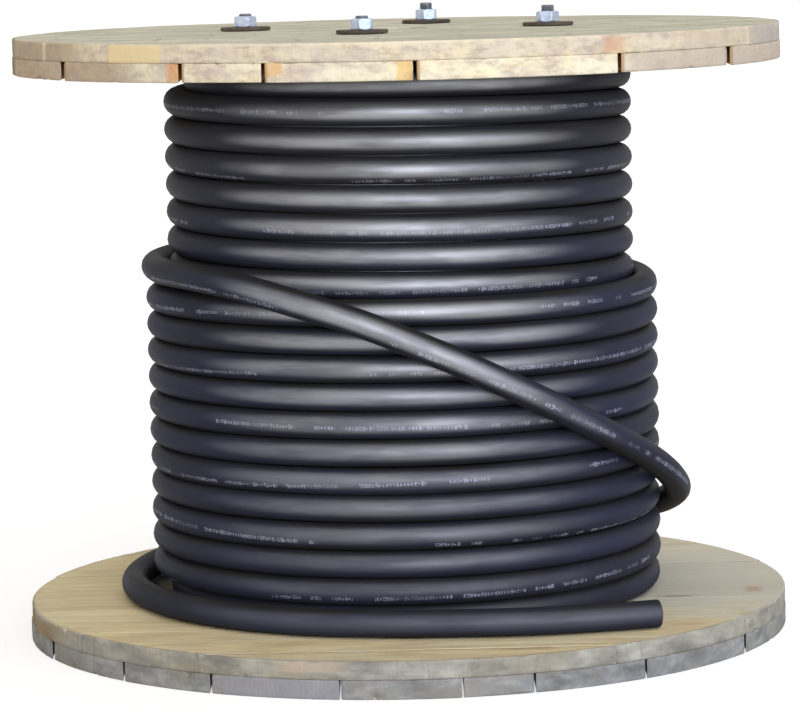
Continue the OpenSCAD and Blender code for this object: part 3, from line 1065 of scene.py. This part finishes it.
cut = form(board_tree, "MeshBoolean", meshes, "Mesh", operation="DIFFERENCE", solver="EXACT")
board = form(board_tree, "Switch", {"Switch": given["Drilled"], "False": sawn, "True": cut})
unturned = about_axis(form(board_tree, "InputPosition"), given["Run"] * -1)
centre = vector(0.0, (low + high) * 0.5, bottom)
board = stored(board, "grain", vector_op("SUBTRACT", unturned, centre))
board = stored(board, "tone", given["Seed"], "FLOAT")
fill(result, [shaded(board, given["Finish"], 0.75)])
print("tree:", board_tree.name)

# %% [markdown]
# The holes are cut with turned solids: a spindle hole through the middle, four bolt holes, a round groove
# on the inner faces for the staves, and wide sinks under the base that keep the bolt heads off the floor.

# %% Drilled holes
ARBOR_R = 0.0381
BOLT_HOLE_R = 0.00875
SINK_R = 0.033
SINK_DEPTH = 0.016
SINK_TOP = 0.05
GROOVE_DEPTH = 0.008
GROOVE_PLAY = 0.001
GROOVE_STEPS = 120
STAVE_T = 0.020
CLEAR = 0.01

bolt_names = [f"tie_bolt_{number}" for number in range(1, 5)]
bolt_spots = [(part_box(name)[0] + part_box(name)[1]).xy / 2 for name in bolt_names]
groove_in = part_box("barrel_staves")[1].x - STAVE_T - GROOVE_PLAY
groove_out = first_r - CABLE_D / 2 + GROOVE_PLAY
top_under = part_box("top_inner_board_1")[0].z
top_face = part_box("top_outer_board_1")[1].z


def at_spot(spot, z=0):
    return Matrix.Translation((spot.x, spot.y, z))


def drill(radius, spot=Vector((0, 0))):
    """A hole through both flanges."""
    low, high = -CLEAR, top_face + CLEAR
    return turned([(0, low), (radius, low), (radius, high), (0, high)], at_spot(spot))


def groove(low, high):
    rings = [(groove_in, low), (groove_out, low), (groove_out, high), (groove_in, high)]
    return turned(rings, closed=True, steps=GROOVE_STEPS)


def sink(spot):
    rings = [(0, -CLEAR), (SINK_R, -CLEAR), (SINK_R, SINK_DEPTH), (BOLT_HOLE_R, SINK_DEPTH)]
    return turned(rings + [(BOLT_HOLE_R, SINK_TOP), (0, SINK_TOP)], at_spot(spot))


bolt_holes = [drill(BOLT_HOLE_R, spot) for spot in bolt_spots]
cuts = {
    "top_outer_board": bolt_holes,
    "top_inner_board": bolt_holes + [groove(top_under - CLEAR, top_under + GROOVE_DEPTH)],
    "base_inner_board": bolt_holes + [groove(base_top - GROOVE_DEPTH, base_top + CLEAR)],
    "base_outer_board": [sink(spot) for spot in bolt_spots],
}
for layer, shapes in cuts.items():
    cutter = solid_object(layer + "_drillings", joined([drill(ARBOR_R)] + shapes), rounded=False)
    cutter.hide_render = True
    LAYERS[layer]["drillings"] = cutter
print("drillings for", len(cuts), "layers")

# %% [markdown]
# Every board takes its width and height from its CAD node. The outer layer of the top flange and the inner
# layer of the base run left to right, and the other two run front to back, so each flange is crossed.

# %% Boards
RUNS_LEFT_RIGHT = ("top_outer_board", "base_inner_board")
FACE_SIDE = dict(zip(LAYERS, (1.0, -1.0, 1.0, 0.0)))
DRILLED_REACH = 0.225
RIM_UNEVEN = 0.0018
FACE_UNEVEN = 0.0008

dice = random.Random(36)
boards = []
for layer, about in LAYERS.items():
    side = 1 if layer in RUNS_LEFT_RIGHT else 0
    for name in sorted(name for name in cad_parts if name.startswith(layer)):
        low_corner, high_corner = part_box(name)
        low, high = low_corner[side], high_corner[side]
        outermost = min(RIM_R + low, RIM_R - high) < 0.001
        boards.append(tree_piece("worn_" + name, new_object(name + "_source"), board_tree, {
            "First angle": math.asin(max(-1.0, low / RIM_R)),
            "Last angle": math.asin(min(1.0, high / RIM_R)),
            "Low": low, "High": high, "Radius": RIM_R - dice.uniform(0, RIM_UNEVEN),
            "Bottom": low_corner.z, "Thickness": high_corner.z - low_corner.z,
            "Run": 0.0 if side else -math.pi / 2,
            "Crowding": 0.5 if outermost else 1.0,
            "Face drop": dice.uniform(0, FACE_UNEVEN), "Face side": FACE_SIDE[layer], "Seed": dice.random(),
            "Drilled": low < DRILLED_REACH and high > -DRILLED_REACH,
            "Drillings": about["drillings"], "Finish": about["finish"],
        }, about["slot"], name))
    bpy.data.objects.remove(about["drillings"])
print("boards:", len(boards), "with", sum(len(board.data.polygons) for board in boards), "faces")

# %% [markdown]
# Four tie bolts clamp the flanges onto the staves. The nuts are bright zinc, the bolts are dull steel, and
# the washers have rusted. Rust is a group, because washers, bolts and nails all share it: a dark skin that
# breaks into orange where water stands.

# %% Rust group and metal finishes
rust_group, given, result = new_group(
    "Rust", {"Colour": "Color", "Where": "Vector", "Amount": "Float"}, {"Colour": "Color", "Mask": "Float"}
)
crust = noise(given["Where"], 170, 6, 0.68)
bloom = noise(given["Where"], 520, 4, 0.6)
rusted = ease(crust + given["Amount"] - 0.5, 0.36, 0.6) * given["Amount"].op("MINIMUM", 1.0)
rust_colour = blend(ease(bloom, 0.35, 0.7), (48, 33, 27), (88, 54, 37))
fill(result, {"Colour": blend(rusted, given["Colour"], rust_colour), "Mask": rusted})


def metal_finish(name, low, high, rust, shine, relief):
    """Plated or bare steel with some rust on it."""
    material, tree, shader = new_finish(name)
    where = object_place(tree)
    cloud = noise(where, 230, 4, 0.6)
    rusty = use_group(tree, rust_group, {
        "Colour": blend(ease(cloud, 0.3, 0.7), low, high), "Where": where, "Amount": rust,
    })
    dusty = use_group(tree, dust_group, {
        "Colour": rusty["Colour"], "Where": where, "Dust": paint((150, 138, 120)), "Amount": 0.2,
    })
    fill(shader, {
        "Base Color": dusty["Colour"], "Metallic": (1 - rusty["Mask"]) * (1 - dusty["Mask"]),
        "Roughness": shine + cloud * 0.15 + rusty["Mask"] * 0.4,
        "Normal": bump(cloud + rusty["Mask"], 0.0005, relief),
    })
    return material


zinc = metal_finish("zinc plate", (186, 200, 224), (220, 230, 248), 0.05, 0.3, 0.2)
bolt_steel = metal_finish("dull thread steel", (112, 118, 128), (150, 156, 166), 0.2, 0.4, 0.4)
rusty_steel = metal_finish("rusted washer steel", (82, 76, 68), (104, 96, 86), 0.5, 0.6, 0.7)
nail_steel = metal_finish("weathered nail steel", (150, 147, 134), (172, 168, 154), 0.12, 0.65, 0.4)
print("finishes:", zinc.name, bolt_steel.name, rusty_steel.name, nail_steel.name)

# %% [markdown]
# A nut is a hexagon with its corners turned off by a cone, which leaves the curved scallops that make it
# look domed. Written as a rule, the wall's radius is the hexagon's, and the cone fixes how far up it goes.
# The same rule makes the bolt head, and another makes the thread: a ridge that climbs one pitch each turn.

# %% Nuts, washers and bolts
NUT_AF = 0.024
NUT_FACE = 0.95
NUT_EDGE = 0.0003
CONE = math.tan(math.radians(30))
THREAD_R = 0.008
THREAD_PITCH = 0.002
THREAD_DEPTH = 0.0011
THREAD_LENGTH = 0.045
RINGS_PER_PITCH = 6
TIP_IN = 0.0014
TIP_SLOPE = 0.8
NUT_HOLE_R = THREAD_R + 0.0002
COUNTERSINK = 0.0008
SOFT = 0.0007
WASHER_STEPS = 64
face_r = NUT_FACE * NUT_AF / 2


def hex_r(angle):
    """Radius of a hexagon that has a corner at angle zero."""
    return NUT_AF / 2 / math.cos(angle % (math.pi / 3) - math.pi / 6)


def hex_ring(z, way):
    """Where the cone meets the hexagon's wall, below a face at z or above one."""
    return lambda angle: (hex_r(angle), z + way * (hex_r(angle) - face_r) * CONE)


def nut_shape(height):
    hole, mouth = NUT_HOLE_R, NUT_HOLE_R + COUNTERSINK
    return [
        (hole, COUNTERSINK), (mouth, 0), (face_r, 0), hex_ring(0, 1), hex_ring(height, -1),
        (face_r, height), (mouth, height), (hole, height - COUNTERSINK),
    ]


def washer_shape(outside, height):
    hole = BOLT_HOLE_R
    return [
        (hole, SOFT), (hole + SOFT, 0), (outside - SOFT, 0), (outside, SOFT), (outside, height - SOFT),
        (outside - SOFT, height), (hole + SOFT, height), (hole, height - SOFT),
    ]


def thread_ring(z, start, top):
    """One ring of the thread: it fades in at the start and is turned down at the top."""
    def rule(angle):
        ridge = 0.5 - 0.5 * math.cos(math.tau * z / THREAD_PITCH - angle)
        depth = THREAD_DEPTH * ridge * min(1.0, (z - start) / THREAD_PITCH)
        return min(THREAD_R - depth, THREAD_R - TIP_IN + (top - z) * TIP_SLOPE), z
    return rule


def bolt_shape(bottom, head_top, top):
    start = top - THREAD_LENGTH
    count = round(THREAD_LENGTH / THREAD_PITCH * RINGS_PER_PITCH)
    thread = [thread_ring(start + THREAD_LENGTH * step / count, start, top) for step in range(1, count + 1)]
    head = [(0, bottom), (face_r, bottom), hex_ring(bottom, 1), hex_ring(head_top, -1), (face_r, head_top)]
    return head + [(THREAD_R, head_top), (THREAD_R, start)] + thread + [(0, top)]


hardware = []
for number, (bolt, spot) in enumerate(zip(bolt_names, bolt_spots), 1):
    outward = Matrix.Rotation(math.atan2(spot.y, spot.x), 4, "Z")
    low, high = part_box(bolt)
    head_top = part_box(f"base_washer_{number}")[0].z
    shape = turned(bolt_shape(low.z, head_top, high.z), at_spot(spot) @ outward)
    hardware.append(solid_piece("threaded_" + bolt, shape, bolt_steel, "bolt_steel", bolt))
    nut = f"nut_{number}"
    low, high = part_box(nut)
    shape = turned(nut_shape(high.z - low.z), at_spot(spot, low.z) @ outward, True)
    hardware.append(solid_piece("chamfered_" + nut, shape, zinc, "zinc_nut", nut, edge=NUT_EDGE))
    for washer in (f"top_washer_{number}", f"base_washer_{number}"):
        low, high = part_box(washer)
        rings = washer_shape((high.x - low.x) / 2, high.z - low.z)
        shape = turned(rings, at_spot(spot, low.z) @ outward, True, WASHER_STEPS)
        hardware.append(solid_piece("rusted_" + washer, shape, rusty_steel, "rusty_washer", washer))
print("hardware:", len(hardware), "pieces")

# %% [markdown]
# Nails hold the two layers of each flange together, two at every place where boards cross. They repeat and
# lie on a surface, so a tree puts one low head on each point, with a little turn and tilt of its own.

# %% Nails
NAIL_R = 0.003
NAIL_HEAD = 0.0012
NAIL_INSET = 0.045
NAIL_SPREAD = 0.27
NAIL_STRAY = 0.006
BOLT_CLEAR = 0.045
ARBOR_CLEAR = 0.06

tilt = {"Min": (-0.05, -0.05, 0.0), "Max": (0.05, 0.05, 3.0), "Seed": 7}
nail_tree = peg_tree("Nail heads", 12, NAIL_R, NAIL_HEAD, "RandomValue", tilt, data_type="FLOAT_VECTOR")


def widths(layer, side):
    """The low and high edge of every board in a layer."""
    names = [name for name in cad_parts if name.startswith(layer)]
    return [(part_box(name)[0][side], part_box(name)[1][side]) for name in names]


def nail_points(flange_rows, flange_columns, z):
    """Two points on each crossing that is clear of the rim, the bolts and the spindle hole."""
    found = []
    for y0, y1 in widths(flange_rows, 1):
        for x0, x1 in widths(flange_columns, 0):
            for way in (-1, 1):
                spot = Vector((
                    (x0 + x1) / 2 + way * NAIL_SPREAD * (x1 - x0) + dice.uniform(-NAIL_STRAY, NAIL_STRAY),
                    (y0 + y1) / 2 + way * NAIL_SPREAD * (y1 - y0) * dice.choice((-1, 1)),
                    z,
                ))
                clear = all((spot.xy - bolt).length > BOLT_CLEAR for bolt in bolt_spots)
                if clear and ARBOR_CLEAR < spot.xy.length < RIM_R - NAIL_INSET:
                    found.append(spot)
    return found


for name, points in (
    ("top_nail_heads", nail_points("top_outer_board", "top_inner_board", top_face - NAIL_HEAD)),
    ("base_nail_heads", nail_points("base_inner_board", "base_outer_board", NAIL_HEAD)),
):
    source = new_object(name + "_points", points)
    tree_piece(name, source, nail_tree, {"Finish": nail_steel}, "rusty_washer")
    print(name + ":", len(points))

# %% [markdown]
# The staves are hidden inside the winding, and their CAD shape is right, so the node stays and only gets
# a pine finish. Its grain runs upright: the place is turned so that the group's first direction is the
# height.

# %% Staves
STAVE_COUNT = 16
STAVE_WIDTH = 0.085
STAVE_R = 0.2

stave_finish, tree, shader = new_finish("stave pine")
x, y, z = split(object_place(tree))
stave_angle = y.op("ARCTAN2", x) * (STAVE_COUNT / math.tau)
upright = vector(z, (stave_angle.op("FRACT") - 0.5) * STAVE_WIDTH, (x * x + y * y).op("SQRT") - STAVE_R)
pine = use_group(tree, pine_group, {
    "Grain": upright, "Tone": (stave_angle.op("FLOOR") * 0.137).op("FRACT"), "Ring width": 0.005,
})
colour = blend(pine["Late wood"] * 0.6, (206, 178, 132), (168, 126, 80))
fill(shader, {
    "Base Color": blend(pine["Knot"] * 0.8, colour, (110, 70, 44)),
    "Roughness": 0.65 + pine["Fibre"] * 0.2, "Normal": bump(pine["Height"], 0.001, 0.6),
})
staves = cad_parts["barrel_staves"]
staves.data.materials.clear()
staves.data.materials.append(stave_finish)
print("finish:", stave_finish.name)

# %% [markdown]
# The light is soft and mostly low, as from a wide open door: a broad lamp from the front that reaches under
# the upper flange, a second one above it, a weaker and cooler one further to the right that draws out the
# sheen of the rubber, and a sky that fills the shadows and is darker and warmer on the left. The floor is
# plain and pale. To the camera and in reflections the floor and sky are lifted to white through the Light
# Path node, so the drum itself gets no more light from that, and its soft shadow stays on the floor.

# %% Light and floor
LAMPS = {
    "low": {"strength": 1.5, "spread": 22, "azimuth": 8, "height": 6, "colour": (0.9, 0.96, 1.14)},
    "high": {"strength": 0.4, "spread": 42, "azimuth": 10, "height": 38, "colour": (1, 1, 1)},
    "side": {"strength": 0.5, "spread": 36, "azimuth": 42, "height": 15, "colour": (0.72, 0.86, 1.1)},
}
SKY_LEFT = 0.49
SKY_RIGHT = 0.75
SKY_WARM = (1.1, 0.98, 0.8, 1)
WHITE = (1, 1, 1, 1)
FLOOR_HALF = 60.0
FLOOR_SHADE = 0.5
FLOOR_LIFT = 0.69


def seen_plainly(tree):
    """One for rays from the camera and for mirror or glass rays, zero for light that lands on things."""
    rays = place(tree, "ShaderNodeLightPath").outputs
    kinds = ("Camera", "Glossy", "Transmission")
    straight, glossy, through = [Field(rays[f"Is {kind} Ray"]) for kind in kinds]
    return (straight + glossy + through).op("MINIMUM", 1.0)


world = bpy.data.worlds.new("sky")
world.use_nodes = True
seen = seen_plainly(world.node_tree)
sky_way = node(world.node_tree, "ShaderNodeTexCoord", (), "Generated")
to_right = ease(split(sky_way)[0], -0.9, 0.9)
fill(world.node_tree.nodes["Background"], {
    "Color": blend(seen, blend(to_right, SKY_WARM, WHITE), WHITE),
    "Strength": mixed(seen, mixed(to_right, SKY_LEFT, SKY_RIGHT), 1.0),
})
scene.world = world

for name, about in LAMPS.items():
    light = bpy.data.lights.new(name, "SUN")
    light.energy = about["strength"]
    light.angle = math.radians(about["spread"])
    light.color = about["colour"]
    lamp = bpy.data.objects.new(name, light)
    scene.collection.objects.link(lamp)
    turn = math.radians(about["azimuth"])
    rise = math.radians(about["height"])
    from_where = Vector((math.sin(turn) * math.cos(rise), -math.cos(turn) * math.cos(rise), math.sin(rise)))
    lamp.rotation_mode = "QUATERNION"
    lamp.rotation_quaternion = from_where.to_track_quat("Z", "Y")

h = FLOOR_HALF
floor = new_object("floor", [(-h, -h, 0), (h, -h, 0), (h, h, 0), (-h, h, 0)], [(0, 1, 2, 3)])
floor_finish, tree, shader = new_finish("pale floor")
fill(shader, {
    "Base Color": (FLOOR_SHADE, FLOOR_SHADE, FLOOR_SHADE, 1), "Roughness": 1.0, "Specular IOR Level": 0.0,
    "Emission Color": WHITE, "Emission Strength": seen_plainly(tree) * FLOOR_LIFT,
})
floor.data.materials.append(floor_finish)
floor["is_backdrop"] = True
scene.view_settings.view_transform = "Standard"
print("light:", ", ".join(LAMPS), "and a sky of", SKY_LEFT, "to", SKY_RIGHT)

# %% [markdown]
# Last, the box of the dressed drum is printed.

# %% Sizes
low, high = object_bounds()
print("dressed box:", [round(v, 4) for v in low], [round(v, 4) for v in high])
